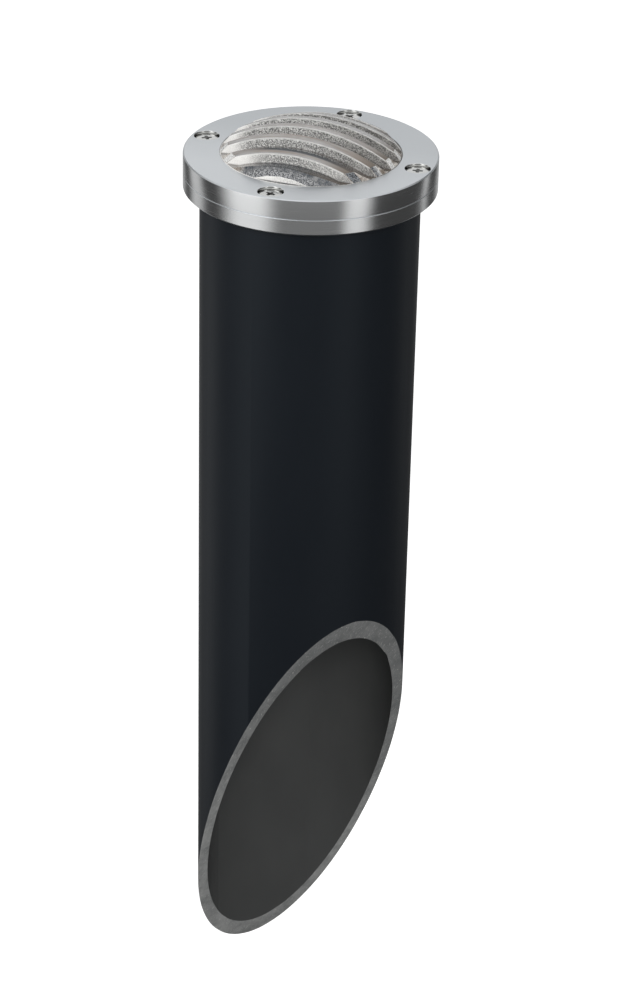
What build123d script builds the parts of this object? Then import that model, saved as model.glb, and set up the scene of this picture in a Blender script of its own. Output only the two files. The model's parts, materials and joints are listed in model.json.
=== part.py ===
"""In ground well light: a stainless steel head with a stepped glass lens, on a slant-cut pipe.

Millimetres, +Z up. The origin is on the axis at ground level, which is the underside of the
head's flange ring. The lens steps run along X and their frosted risers face -Y.
"""
from build123d import *
from math import asin, degrees, hypot, radians, sqrt, tan
import os

# ---- ground sleeve: a length of pressure pipe, cut off at a slant ----
sleeve_radius = 37.5
sleeve_wall = 3.6
sleeve_length = 333.5  # ground level to the tip
bevel_angle = 22.4  # degrees between the cut and the pipe's axis
bevel_azimuth = -40.6  # degrees from +X to the side that the cut opens on
sleeve_lead_in = 0.8
sleeve_register_depth = 0.8  # how far the pipe's end sits up in the flange ring
sleeve_register_clearance = 0.3

# ---- steel rings ----
ring_overhang = 5.6  # ring beyond the pipe
flange_height = 5.6
trim_height = 6.8
rim_chamfer = 0.5
joint_chamfer = 0.2
flange_foot_chamfer = 0.6
ring_face_width = 12.4  # rim to lens opening
opening_chamfer = 0.35

# ---- cover screws ----
screw_count = 4
screw_shank_radius = 2.0
screw_shank_length = 7.5
screw_tip_chamfer = 0.4
screw_head_radius = 4.05
screw_head_height = 2.4
screw_head_fillet = 0.45
screw_recess = 0.75  # head top below the ring's face
screw_counterbore_radius = 4.3
screw_clearance_radius = 2.25
cross_slot_length = 3.8
cross_slot_width = 0.95
cross_slot_depth = 1.5
cross_slot_taper = 12.0
thread_clearance = 0.05
tapped_hole_spare = 0.3

# ---- lens and its gaskets ----
gasket_thickness = 0.8
lens_rim_overlap = 1.6  # lens rim under the trim ring
lens_rim_height = 2.6
lens_neck_clearance = 0.3
lens_pocket_clearance = 0.2
gasket_edge_step = 0.25
lower_gasket_width = 1.7
crown_height = 10.2  # apex above the trim ring's face
edge_bevel_width = 2.3
edge_bevel_height = 2.82
front_riser_lead = 1.15  # first riser, ahead of the dome's edge
step_pitch = 8.2
land_width = 3.2
riser_height = 3.0
cutter_spare = 1.0
lens_wall = 3.6  # at the hollow's mouth
lens_hollow_height = 7.8

# ---- lamp canister ----
canister_clearance = 0.7  # barrel to sleeve bore
canister_wall = 2.9
canister_depth = 92.0  # ground level to the canister's base
canister_floor = 3.0
canister_lip_width = 1.4
canister_lip_height = 2.0
flange_bore_clearance = 0.3
lip_clearance = 0.2
ledge_depth = 12.0  # ground level to the ledge under the swivel ring
ledge_height = 2.5
ledge_width = 2.4
floor_fillet = 2.0

# ---- barrel seals ----
o_ring_section = 2.2
o_ring_squeeze_gap = 0.1  # running clearance in the sleeve's bore
o_ring_seat_gap = 0.02
o_ring_groove_width = 2.9
o_ring_depths = (4.5, 24.0)

# ---- swivel ring and what holds it down ----
glide_washer_thickness = 0.5
swivel_ring_thickness = 2.0
swivel_ring_width = 3.1
swivel_clearance = 0.3
snap_ring_thickness = 1.0
snap_ring_width = 2.0
snap_ring_seat = 0.8  # how far it stands in the wall
snap_ring_gap = 9.0
snap_ring_cutter = 6.0
snap_groove_clearance = 0.1
ear_thickness = 1.6
ear_radius = 4.0  # round top, and half the ear's width
tilt_axis_depth = 3.25

# ---- lamp cradle and its pivots ----
cradle_inset = 3.6  # from the swivel ring's rim
cradle_wall = 1.1
cradle_height = 5.5
cradle_lip_width = 2.1
cradle_lip_thickness = 1.0
ear_gap = 0.4  # cradle to ear
pivot_radius = 1.25
pivot_clearance = 0.05
pivot_head_radius = 2.3
pivot_head_height = 0.8
pivot_head_gap = 0.05
pivot_washer_radius = 3.0
pivot_washer_gap = 0.04

# ---- lamp: 50 mm reflector lamp with a two-pin base ----
lamp_rim_clearance = 0.3  # in the cradle's bore
lamp_rim_height = 2.8
lamp_shell = 1.2
lamp_body_height = 30.0  # rim top to the base
lamp_throat_radius = 9.0
lamp_neck_clearance = 0.3  # inside the cradle's lip
lamp_waist_inset = 6.5
lamp_waist_depth = 14.0
front_glass_thickness = 1.5
front_glass_edge = 1.3
front_glass_inset = 0.3
front_glass_clearance = 0.1
burner_radius = 4.2
burner_height = 16.0
burner_tip_fillet = 3.8
lamp_base_length = 17.0
lamp_base_width = 13.0
lamp_base_height = 10.0
lamp_base_fillet = 2.0
pin_radius = 0.75
pin_spacing = 5.33
pin_length = 7.0
pin_tip_fillet = 0.6
clip_wire_radius = 0.55
clip_gap_above_rim = 0.15
clip_seat_gap = 0.03
clip_opening = 10.0
clip_cutter_height = 2.2

# ---- lampholder ----
holder_length = 25.0
holder_width = 11.0
holder_height = 10.0
holder_fillet = 1.6
holder_pin_clearance = 0.1
holder_pin_spare = 1.0
holder_eyelet_spacing = 16.6
holder_eyelet_radius = 1.6
holder_eyelet_depth = 3.0

# ---- terminal block on the canister's floor ----
block_length = 24.0
block_width = 11.0
block_height = 12.0
block_wall_gap = 1.0  # block corner to barrel
block_poles = 2
block_pole_pitch = 14.0
block_fillet = 0.8
insert_radius = 2.4
insert_bore_radius = 1.5
insert_fit_gap = 0.05
insert_height = 4.6  # above the floor
terminal_screw_radius = 1.5
terminal_screw_pitch = 6.0
terminal_screw_length = 4.5
terminal_screw_slot = 0.5
slot_cutter_length = 9.0
terminal_screw_slot_depth = 0.6
terminal_screw_clearance = 0.1
block_screw_radius = 1.5
block_screw_head_radius = 2.7
block_screw_head_height = 1.6
block_screw_bite = 1.8

# ---- cable gland in the canister's base ----
gland_spigot_radius = 8.0
gland_hole_clearance = 0.1
gland_hex = 20.0  # across flats
gland_hex_height = 5.4
gland_seal_thickness = 1.0
gland_seal_width = 2.2
locknut_hex = 22.0
locknut_height = 3.5
spigot_spare = 1.2
gland_bore_radius = 5.0
gland_nose_radius = 8.4
gland_nose_height = 6.0
grip_seat_depth = 6.7  # up into the nose
grip_radius = 6.8
grip_bore_radius = 3.5
grip_length = 9.0
grip_fit_gap = 0.05
cap_nut_height = 12.0
cap_corner_trim = 0.55  # corners cut back to a circle
cap_nut_gap = 0.3  # to the hex above it
cap_thread_clearance = 0.1

# ---- places that follow from the sizes above ----
sleeve_bore = sleeve_radius - sleeve_wall
bevel_rise = sleeve_radius / tan(radians(bevel_angle))
bevel_centre = bevel_rise - sleeve_length
bevel_side = Vector(1, 0, 0).rotate(Axis.Z, bevel_azimuth)
bevel_plane = Plane(
    origin=(0, 0, bevel_centre),
    z_dir=Vector(0, 0, 1) - bevel_side * (bevel_rise / sleeve_radius),
)

ring_radius = sleeve_radius + ring_overhang
ring_top = flange_height + trim_height
screw_seat = ring_top - screw_recess - screw_head_height
screw_tip = screw_seat - screw_shank_length
tapped_hole_depth = flange_height - screw_tip + tapped_hole_spare

lens_bottom = flange_height + gasket_thickness
lens_rim_top = lens_bottom + lens_rim_height
pocket_top = lens_rim_top + gasket_thickness
lens_opening_radius = ring_radius - ring_face_width
lens_rim_radius = lens_opening_radius + lens_rim_overlap
pocket_radius = lens_rim_radius + lens_pocket_clearance
screw_circle_radius = (ring_radius + pocket_radius) / 2
lens_neck_radius = lens_opening_radius - lens_neck_clearance
crown_edge_radius = lens_neck_radius - edge_bevel_width
crown_rise = crown_height - edge_bevel_height
crown_radius = (crown_edge_radius**2 + crown_rise**2) / (2 * crown_rise)
crown_centre = ring_top + crown_height - crown_radius
crown_angle = degrees(asin(crown_edge_radius / crown_radius))
groove_width = step_pitch - land_width
groove_reach = lens_neck_radius + cutter_spare
groove_roof = ring_top + crown_height + riser_height + cutter_spare
front_riser = -crown_edge_radius - front_riser_lead
step_count = 1 + int((crown_edge_radius - front_riser + groove_width) / step_pitch)
lens_hollow_mouth = lens_neck_radius - lens_wall
lens_hollow_radius = (lens_hollow_mouth**2 + lens_hollow_height**2) / (2 * lens_hollow_height)
lens_hollow_centre = lens_bottom + lens_hollow_height - lens_hollow_radius
lens_hollow_angle = degrees(asin(lens_hollow_mouth / lens_hollow_radius))

barrel_radius = sleeve_bore - canister_clearance
barrel_bore = barrel_radius - canister_wall
lip_radius = barrel_radius + canister_lip_width
floor_top = canister_floor - canister_depth
ledge_bore = barrel_bore - ledge_width
o_ring_centre = sleeve_bore - o_ring_squeeze_gap - o_ring_section / 2
o_ring_seat_radius = o_ring_centre - o_ring_section / 2 - o_ring_seat_gap

swivel_ring_bottom = glide_washer_thickness - ledge_depth
swivel_ring_top = swivel_ring_bottom + swivel_ring_thickness
swivel_ring_radius = barrel_bore - swivel_clearance
swivel_ring_inner_radius = swivel_ring_radius - swivel_ring_width
snap_ring_bottom = swivel_ring_top + swivel_clearance
snap_ring_radius = barrel_bore + snap_ring_seat
snap_ring_inner_radius = snap_ring_radius - snap_ring_width
cradle_radius = swivel_ring_radius - cradle_inset
cradle_bore_radius = cradle_radius - cradle_wall
ear_inner = cradle_radius + ear_gap
ear_outer = ear_inner + ear_thickness

cradle_bottom = -tilt_axis_depth - cradle_height / 2
rim_bottom = cradle_bottom + cradle_lip_thickness
rim_top = rim_bottom + lamp_rim_height
clip_height = rim_top + clip_gap_above_rim + clip_wire_radius
clip_radius = cradle_bore_radius - clip_seat_gap
lamp_rim_radius = cradle_bore_radius - lamp_rim_clearance
lamp_waist_radius = lamp_rim_radius - lamp_waist_inset
lamp_base_top = rim_top - lamp_body_height
holder_top = lamp_base_top - lamp_base_height
holder_pin_depth = pin_length + holder_pin_spare
front_glass_bottom = rim_top - front_glass_inset - front_glass_thickness
front_glass_radius = lamp_rim_radius - front_glass_edge
lamp_neck_radius = cradle_bore_radius - cradle_lip_width - lamp_neck_clearance

insert_centre = floor_top + insert_height
block_top = floor_top + block_height
block_corner_radius = barrel_bore - block_wall_gap
block_back = sqrt(block_corner_radius**2 - (block_length / 2) ** 2)
block_offset = block_back - block_width / 2
gland_hex_top = -canister_depth - gland_seal_thickness
gland_hex_bottom = gland_hex_top - gland_hex_height
nose_bottom = gland_hex_bottom - gland_nose_height
locknut_top = floor_top + locknut_height
cap_top = gland_hex_bottom - cap_nut_gap
cap_bottom = cap_top - cap_nut_height
grip_top = nose_bottom + grip_seat_depth
grip_bottom = grip_top - grip_length
cap_bore = gland_nose_radius + cap_thread_clearance

# ---- ground sleeve ----
with BuildPart() as ground_sleeve:
    with BuildSketch(Plane.XY.offset(-sleeve_length)):
        Circle(sleeve_radius)
        Circle(sleeve_bore, mode=Mode.SUBTRACT)
    extrude(amount=sleeve_length + sleeve_register_depth)
    mouth_edges = ground_sleeve.edges().group_by(Axis.Z)[-1]
    chamfer(mouth_edges.sort_by(SortBy.RADIUS)[0], sleeve_lead_in)
    split(bisect_by=bevel_plane, keep=Keep.TOP)

# ---- flange ring: rests on the ground and on the pipe's end, and takes the screws ----
with BuildPart() as flange_ring:
    with BuildSketch():
        Circle(ring_radius)
        Circle(barrel_radius + flange_bore_clearance, mode=Mode.SUBTRACT)
    extrude(amount=flange_height)
    circles = flange_ring.edges().filter_by(GeomType.CIRCLE)
    rims = circles.sort_by(SortBy.RADIUS)[-2:].sort_by(Axis.Z)
    chamfer(rims[0], flange_foot_chamfer)
    chamfer(rims[1], joint_chamfer)
    with BuildSketch(Plane.XY.offset(flange_height)):
        Circle(lip_radius + lip_clearance)
    extrude(amount=-canister_lip_height, mode=Mode.SUBTRACT)
    with BuildSketch():
        Circle(sleeve_radius + sleeve_register_clearance)
    extrude(amount=sleeve_register_depth, mode=Mode.SUBTRACT)
    with Locations((0, 0, flange_height)):
        with PolarLocations(screw_circle_radius, screw_count):
            Hole(screw_shank_radius + thread_clearance, depth=tapped_hole_depth)

# ---- trim ring: holds the lens down, with the screw heads sunk into it ----
with BuildPart() as trim_ring:
    with BuildSketch(Plane.XY.offset(flange_height)):
        Circle(ring_radius)
        Circle(pocket_radius, mode=Mode.SUBTRACT)
    extrude(amount=trim_height)
    with BuildSketch(Plane.XY.offset(pocket_top)):
        Circle(ring_radius)
        Circle(lens_opening_radius, mode=Mode.SUBTRACT)
    extrude(amount=ring_top - pocket_top)
    face_edges = trim_ring.edges().group_by(Axis.Z)[-1].sort_by(SortBy.RADIUS)
    chamfer(face_edges[0], opening_chamfer)
    chamfer(face_edges[-1], rim_chamfer)
    joint_edge = trim_ring.edges().group_by(Axis.Z)[0].sort_by(SortBy.RADIUS)[-1]
    chamfer(joint_edge, joint_chamfer)
    with Locations((0, 0, ring_top)):
        with PolarLocations(screw_circle_radius, screw_count):
            CounterBoreHole(
                screw_clearance_radius,
                screw_counterbore_radius,
                screw_recess + screw_head_height,
            )

# ---- four cover screws with crossed slots ----
with BuildPart() as cover_screws:
    with BuildSketch(Plane.XY.offset(screw_tip)):
        with PolarLocations(screw_circle_radius, screw_count):
            Circle(screw_shank_radius)
    extrude(amount=screw_shank_length)
    chamfer(cover_screws.edges().group_by(Axis.Z)[0], screw_tip_chamfer)
    with BuildSketch(Plane.XY.offset(screw_seat)):
        with PolarLocations(screw_circle_radius, screw_count):
            Circle(screw_head_radius)
    extrude(amount=screw_head_height)
    fillet(cover_screws.edges().group_by(Axis.Z)[-1], screw_head_fillet)
    with BuildSketch(Plane.XY.offset(screw_seat + screw_head_height)):
        with PolarLocations(screw_circle_radius, screw_count):
            Rectangle(cross_slot_length, cross_slot_width)
            Rectangle(cross_slot_width, cross_slot_length)
    extrude(amount=-cross_slot_depth, taper=cross_slot_taper, mode=Mode.SUBTRACT)

# ---- lens: a glass dome with steps cut across it, on a round rim ----
with BuildPart() as lens:
    with BuildSketch(Plane.XZ):
        with BuildLine():
            crown = CenterArc((0, crown_centre), crown_radius, 90 - crown_angle, crown_angle)
            Polyline(crown @ 1, (0, ring_top), (lens_neck_radius, ring_top), crown @ 0)
        make_face()
    revolve(axis=Axis.Z)

    # each groove starts on the dome and falls towards the riser behind it
    for step in range(step_count):
        riser_y = front_riser + step * step_pitch
        land_y = riser_y - groove_width
        floor_radius = sqrt(crown_radius**2 - land_y**2)
        floor_angle = degrees(asin(groove_reach / floor_radius))
        floor_fall = floor_radius - sqrt(crown_radius**2 - riser_y**2) + riser_height
        with BuildSketch(Plane.XZ.offset(-land_y)):
            with BuildLine():
                floor_arc = CenterArc(
                    (0, crown_centre), floor_radius, 90 - floor_angle, 2 * floor_angle
                )
                roof = [(-groove_reach, groove_roof), (groove_reach, groove_roof)]
                Polyline(floor_arc @ 1, *roof, floor_arc @ 0)
            make_face()
        extrude(
            amount=hypot(groove_width, floor_fall),
            dir=(0, groove_width, -floor_fall),
            mode=Mode.SUBTRACT,
        )

    with BuildSketch(Plane.XY.offset(lens_bottom)):
        Circle(lens_rim_radius)
    extrude(amount=lens_rim_height)
    with BuildSketch(Plane.XY.offset(lens_rim_top)):
        Circle(lens_neck_radius)
    extrude(amount=ring_top - lens_rim_top)

    with BuildSketch(Plane.XZ):
        with BuildLine():
            hollow = CenterArc(
                (0, lens_hollow_centre),
                lens_hollow_radius,
                90 - lens_hollow_angle,
                lens_hollow_angle,
            )
            Polyline(hollow @ 1, (0, lens_bottom), hollow @ 0)
        make_face()
    revolve(axis=Axis.Z, mode=Mode.SUBTRACT)

# ---- gaskets above and below the lens rim ----
with BuildPart() as upper_gasket:
    with BuildSketch(Plane.XY.offset(lens_rim_top)):
        Circle(lens_rim_radius)
        Circle(lens_opening_radius + gasket_edge_step, mode=Mode.SUBTRACT)
    extrude(amount=gasket_thickness)

with BuildPart() as lower_gasket:
    with BuildSketch(Plane.XY.offset(flange_height)):
        Circle(lens_rim_radius)
        Circle(lens_rim_radius - lower_gasket_width, mode=Mode.SUBTRACT)
    extrude(amount=gasket_thickness)

# ---- lamp canister: hangs by its lip in the flange ring, sealed in the pipe ----
with BuildPart() as lamp_canister:
    with BuildSketch(Plane.XY.offset(-canister_depth)):
        Circle(barrel_radius)
    extrude(amount=canister_depth + flange_height)
    with BuildSketch(Plane.XY.offset(flange_height)):
        Circle(lip_radius)
    extrude(amount=-canister_lip_height)
    with BuildSketch(Plane.XY.offset(flange_height)):
        Circle(barrel_bore)
    extrude(amount=-flange_height - ledge_depth, mode=Mode.SUBTRACT)
    with BuildSketch(Plane.XY.offset(-ledge_depth)):
        Circle(ledge_bore)
    extrude(amount=-ledge_height, mode=Mode.SUBTRACT)
    with BuildSketch(Plane.XY.offset(floor_top)):
        Circle(barrel_bore)
    extrude(amount=canister_depth - canister_floor - ledge_depth - ledge_height, mode=Mode.SUBTRACT)
    base_edge = lamp_canister.edges().group_by(Axis.Z)[0]
    fillet(base_edge, floor_fillet)
    for depth in o_ring_depths:
        with BuildSketch(Plane.XY.offset(-depth)):
            Circle(barrel_radius)
            Circle(o_ring_seat_radius, mode=Mode.SUBTRACT)
        extrude(amount=o_ring_groove_width / 2, both=True, mode=Mode.SUBTRACT)
    with BuildSketch(Plane.XY.offset(snap_ring_bottom - snap_groove_clearance)):
        Circle(snap_ring_radius + snap_groove_clearance)
    extrude(amount=snap_ring_thickness + 2 * snap_groove_clearance, mode=Mode.SUBTRACT)
    with Locations((0, 0, floor_top)):
        Hole(gland_spigot_radius + gland_hole_clearance, depth=canister_floor)
        with Locations((0, block_offset)):
            Hole(block_screw_radius, depth=block_screw_bite)

with BuildPart() as barrel_o_rings:
    for depth in o_ring_depths:
        with BuildSketch(Plane.XZ):
            with Locations((o_ring_centre, -depth)):
                Circle(o_ring_section / 2)
        revolve(axis=Axis.Z)

# ---- swivel ring with two ears, on a glide washer, under a snap ring ----
with BuildPart() as glide_washer:
    with BuildSketch(Plane.XY.offset(-ledge_depth)):
        Circle(swivel_ring_radius)
        Circle(ledge_bore, mode=Mode.SUBTRACT)
    extrude(amount=glide_washer_thickness)

with BuildPart() as swivel_ring:
    with BuildSketch(Plane.XY.offset(swivel_ring_bottom)):
        Circle(swivel_ring_radius)
        Circle(swivel_ring_inner_radius, mode=Mode.SUBTRACT)
    extrude(amount=swivel_ring_thickness)
    for side in (-1, 1):
        ear_start = ear_inner if side > 0 else -ear_outer
        with BuildSketch(Plane.YZ.offset(ear_start)):
            with Locations((0, -tilt_axis_depth)):
                Circle(ear_radius)
            with Locations((0, (swivel_ring_bottom - tilt_axis_depth) / 2)):
                Rectangle(2 * ear_radius, -tilt_axis_depth - swivel_ring_bottom)
            with Locations((0, -tilt_axis_depth)):
                Circle(pivot_radius + pivot_clearance, mode=Mode.SUBTRACT)
        extrude(amount=ear_thickness)

with BuildPart() as snap_ring:
    with BuildSketch(Plane.XY.offset(snap_ring_bottom)):
        Circle(snap_ring_radius)
        Circle(snap_ring_inner_radius, mode=Mode.SUBTRACT)
        with Locations((0, snap_ring_radius)):
            Rectangle(snap_ring_gap, snap_ring_cutter, mode=Mode.SUBTRACT)
    extrude(amount=snap_ring_thickness)

# ---- lamp cradle, pivoted between the ears ----
with BuildPart() as lamp_cradle:
    with BuildSketch(Plane.XY.offset(cradle_bottom)):
        Circle(cradle_radius)
        Circle(cradle_bore_radius, mode=Mode.SUBTRACT)
    extrude(amount=cradle_height)
    with BuildSketch(Plane.XY.offset(cradle_bottom)):
        Circle(cradle_radius)
        Circle(cradle_bore_radius - cradle_lip_width, mode=Mode.SUBTRACT)
    extrude(amount=cradle_lip_thickness)
    with BuildSketch(Plane.XZ):
        with Locations((clip_radius, clip_height)):
            Circle(clip_wire_radius + clip_seat_gap)
    revolve(axis=Axis.Z, mode=Mode.SUBTRACT)
    with Locations(Plane.YZ.offset(-cradle_radius)):
        with Locations((0, -tilt_axis_depth, 0)):
            Cylinder(
                pivot_radius,
                2 * cradle_radius,
                align=(Align.CENTER, Align.CENTER, Align.MIN),
                mode=Mode.SUBTRACT,
            )

with BuildPart() as tilt_pivots:
    for side in (-1, 1):
        wall_face = side * sqrt(cradle_bore_radius**2 - pivot_radius**2)
        with BuildSketch(Plane.YZ.offset(wall_face)):
            with Locations((0, -tilt_axis_depth)):
                Circle(pivot_radius)
        extrude(amount=side * (ear_outer + pivot_head_gap - abs(wall_face)))
        with BuildSketch(Plane.YZ.offset(side * (ear_outer + pivot_head_gap))):
            with Locations((0, -tilt_axis_depth)):
                Circle(pivot_head_radius)
        extrude(amount=side * pivot_head_height)

with BuildPart() as pivot_washers:
    for side in (-1, 1):
        with BuildSketch(Plane.YZ.offset(side * (cradle_radius + pivot_washer_gap))):
            with Locations((0, -tilt_axis_depth)):
                Circle(pivot_washer_radius)
                Circle(pivot_radius + pivot_clearance, mode=Mode.SUBTRACT)
        extrude(amount=side * (ear_gap - pivot_washer_gap))

with BuildPart() as lamp_clip:
    with BuildSketch(Plane.XZ):
        with Locations((clip_radius, clip_height)):
            Circle(clip_wire_radius)
    revolve(axis=Axis.Z)
    with Locations((0, clip_radius, clip_height)):
        Box(clip_opening, clip_radius, clip_cutter_height, mode=Mode.SUBTRACT)

# ---- lamp ----
with BuildPart() as lamp_reflector:
    for inset, carve in ((0, Mode.ADD), (lamp_shell, Mode.SUBTRACT)):
        with BuildSketch(Plane.XZ):
            with BuildLine():
                flank = ThreePointArc(
                    (lamp_throat_radius - inset, lamp_base_top + inset),
                    (lamp_waist_radius - inset, rim_top - lamp_waist_depth),
                    (lamp_neck_radius - inset, rim_bottom),
                )
                Polyline(flank @ 1, (0, rim_bottom), (0, lamp_base_top + inset), flank @ 0)
            make_face()
        revolve(axis=Axis.Z, mode=carve)
    with BuildSketch(Plane.XY.offset(rim_bottom)):
        Circle(lamp_rim_radius)
        Circle(lamp_neck_radius - lamp_shell, mode=Mode.SUBTRACT)
    extrude(amount=lamp_rim_height)
    with BuildSketch(Plane.XY.offset(rim_top)):
        Circle(front_glass_radius + front_glass_clearance)
    extrude(amount=-front_glass_inset - front_glass_thickness, mode=Mode.SUBTRACT)

with BuildPart() as lamp_front_glass:
    with BuildSketch(Plane.XY.offset(front_glass_bottom)):
        Circle(front_glass_radius)
    extrude(amount=front_glass_thickness)

with BuildPart() as lamp_burner:
    with BuildSketch(Plane.XY.offset(lamp_base_top + lamp_shell)):
        Circle(burner_radius)
    extrude(amount=burner_height)
    fillet(lamp_burner.edges().group_by(Axis.Z)[-1], burner_tip_fillet)

with BuildPart() as lamp_base:
    with BuildSketch(Plane.XY.offset(lamp_base_top)):
        RectangleRounded(lamp_base_length, lamp_base_width, lamp_base_fillet)
    extrude(amount=-lamp_base_height)

with BuildPart() as lamp_pins:
    with BuildSketch(Plane.XY.offset(holder_top)):
        with Locations((-pin_spacing / 2, 0), (pin_spacing / 2, 0)):
            Circle(pin_radius)
    extrude(amount=-pin_length)
    fillet(lamp_pins.edges().group_by(Axis.Z)[0], pin_tip_fillet)

with BuildPart() as lampholder:
    with BuildSketch(Plane.XY.offset(holder_top)):
        RectangleRounded(holder_length, holder_width, holder_fillet)
    extrude(amount=-holder_height)
    with Locations((0, 0, holder_top)):
        with Locations((-pin_spacing / 2, 0), (pin_spacing / 2, 0)):
            Hole(pin_radius + holder_pin_clearance, depth=holder_pin_depth)
        with Locations((-holder_eyelet_spacing / 2, 0), (holder_eyelet_spacing / 2, 0)):
            Hole(holder_eyelet_radius, depth=holder_eyelet_depth)

# ---- terminal block with brass inserts and slotted screws ----
pole_places = [(pole - (block_poles - 1) / 2) * block_pole_pitch for pole in range(block_poles)]
block_centre = (0, block_offset)
insert_places = [(x, insert_centre) for x in pole_places]
screw_places = [
    (x, block_offset + y)
    for x in pole_places
    for y in (-terminal_screw_pitch / 2, terminal_screw_pitch / 2)
]
terminal_screw_bottom = insert_centre + insert_bore_radius / 2

with BuildPart() as terminal_block:
    with BuildSketch(Plane.XY.offset(floor_top)):
        with Locations(block_centre):
            RectangleRounded(block_length, block_width, block_fillet)
    extrude(amount=block_height)
    with BuildSketch(Plane.XZ.offset(-block_offset)):
        with Locations(*insert_places):
            Circle(insert_radius + insert_fit_gap)
    extrude(amount=block_width / 2, both=True, mode=Mode.SUBTRACT)
    with BuildSketch(Plane.XY.offset(block_top)):
        with Locations(*screw_places):
            Circle(terminal_screw_radius + terminal_screw_clearance)
    extrude(amount=insert_centre - block_top, mode=Mode.SUBTRACT)
    with Locations((0, block_offset, block_top)):
        CounterBoreHole(
            block_screw_radius + terminal_screw_clearance,
            block_screw_head_radius + terminal_screw_clearance,
            block_height / 2,
        )

with BuildPart() as terminal_inserts:
    with BuildSketch(Plane.XZ.offset(-block_offset)):
        with Locations(*insert_places):
            Circle(insert_radius)
            Circle(insert_bore_radius, mode=Mode.SUBTRACT)
    extrude(amount=block_width / 2 - block_fillet, both=True)
    with BuildSketch(Plane.XY.offset(insert_centre)):
        with Locations(*screw_places):
            Circle(terminal_screw_radius + thread_clearance)
    extrude(amount=insert_radius, mode=Mode.SUBTRACT)

with BuildPart() as terminal_screws:
    with BuildSketch(Plane.XY.offset(terminal_screw_bottom)):
        with Locations(*screw_places):
            Circle(terminal_screw_radius)
    extrude(amount=terminal_screw_length)
    with BuildSketch(Plane.XY.offset(terminal_screw_bottom + terminal_screw_length)):
        with Locations(*screw_places):
            Rectangle(slot_cutter_length, terminal_screw_slot)
    extrude(amount=-terminal_screw_slot_depth, mode=Mode.SUBTRACT)

with BuildPart() as block_screw:
    with BuildSketch(Plane.XY.offset(floor_top - block_screw_bite)):
        with Locations(block_centre):
            Circle(block_screw_radius)
    extrude(amount=block_screw_bite + block_height / 2)
    with BuildSketch(Plane.XY.offset(block_top - block_height / 2)):
        with Locations(block_centre):
            Circle(block_screw_head_radius)
    extrude(amount=block_screw_head_height)
    with BuildSketch(Plane.XY.offset(block_top - block_height / 2 + block_screw_head_height)):
        with Locations(block_centre):
            Rectangle(slot_cutter_length, terminal_screw_slot)
    extrude(amount=-terminal_screw_slot_depth, mode=Mode.SUBTRACT)

# ---- cable gland ----
with BuildPart() as gland_body:
    with BuildSketch(Plane.XY.offset(gland_hex_bottom)):
        RegularPolygon(gland_hex / 2, 6, major_radius=False)
    extrude(amount=gland_hex_height)
    with BuildSketch(Plane.XY.offset(gland_hex_top)):
        Circle(gland_spigot_radius)
    extrude(amount=locknut_top + spigot_spare - gland_hex_top)
    with BuildSketch(Plane.XY.offset(gland_hex_bottom)):
        Circle(gland_nose_radius)
    extrude(amount=-gland_nose_height)
    with BuildSketch(Plane.XY.offset(nose_bottom)):
        Circle(gland_bore_radius)
    extrude(amount=locknut_top + spigot_spare - nose_bottom, mode=Mode.SUBTRACT)
    with BuildSketch(Plane.XY.offset(nose_bottom)):
        Circle(grip_radius + grip_fit_gap)
    extrude(amount=grip_top - nose_bottom, mode=Mode.SUBTRACT)

with BuildPart() as gland_seal:
    with BuildSketch(Plane.XY.offset(gland_hex_top)):
        Circle(gland_spigot_radius + gland_seal_width)
        Circle(gland_spigot_radius, mode=Mode.SUBTRACT)
    extrude(amount=gland_seal_thickness)

with BuildPart() as gland_locknut:
    with BuildSketch(Plane.XY.offset(floor_top)):
        RegularPolygon(locknut_hex / 2, 6, major_radius=False)
        Circle(gland_spigot_radius + thread_clearance, mode=Mode.SUBTRACT)
    extrude(amount=locknut_height)

with BuildPart() as gland_grip:
    with BuildSketch(Plane.XY.offset(grip_bottom)):
        Circle(grip_radius)
        Circle(grip_bore_radius, mode=Mode.SUBTRACT)
    extrude(amount=grip_length)

with BuildPart() as gland_cap_nut:
    with BuildSketch(Plane.XY.offset(cap_bottom)):
        RegularPolygon(gland_hex / 2, 6, major_radius=False)
    extrude(amount=cap_nut_height)
    with BuildSketch(Plane.XY.offset(cap_bottom)):
        Circle(gland_hex / sqrt(3) - cap_corner_trim)
    extrude(amount=cap_nut_height, mode=Mode.INTERSECT)
    with BuildSketch(Plane.XY.offset(cap_bottom)):
        Circle(gland_bore_radius)
    extrude(amount=cap_nut_height, mode=Mode.SUBTRACT)
    with BuildSketch(Plane.XY.offset(grip_bottom)):
        Circle(cap_bore)
    extrude(amount=cap_top - grip_bottom, mode=Mode.SUBTRACT)

pieces = {
    "ground_sleeve": ground_sleeve,
    "flange_ring": flange_ring,
    "trim_ring": trim_ring,
    "cover_screws": cover_screws,
    "lens": lens,
    "upper_gasket": upper_gasket,
    "lower_gasket": lower_gasket,
    "lamp_canister": lamp_canister,
    "barrel_o_rings": barrel_o_rings,
    "glide_washer": glide_washer,
    "swivel_ring": swivel_ring,
    "snap_ring": snap_ring,
    "lamp_cradle": lamp_cradle,
    "tilt_pivots": tilt_pivots,
    "pivot_washers": pivot_washers,
    "lamp_clip": lamp_clip,
    "lamp_reflector": lamp_reflector,
    "lamp_front_glass": lamp_front_glass,
    "lamp_burner": lamp_burner,
    "lamp_base": lamp_base,
    "lamp_pins": lamp_pins,
    "lampholder": lampholder,
    "terminal_block": terminal_block,
    "terminal_inserts": terminal_inserts,
    "terminal_screws": terminal_screws,
    "block_screw": block_screw,
    "gland_body": gland_body,
    "gland_seal": gland_seal,
    "gland_locknut": gland_locknut,
    "gland_grip": gland_grip,
    "gland_cap_nut": gland_cap_nut,
}
os.makedirs("parts", exist_ok=True)
for name, piece in pieces.items():
    piece.part.label = name
    export_step(piece.part, f"parts/{name}.step")
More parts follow.
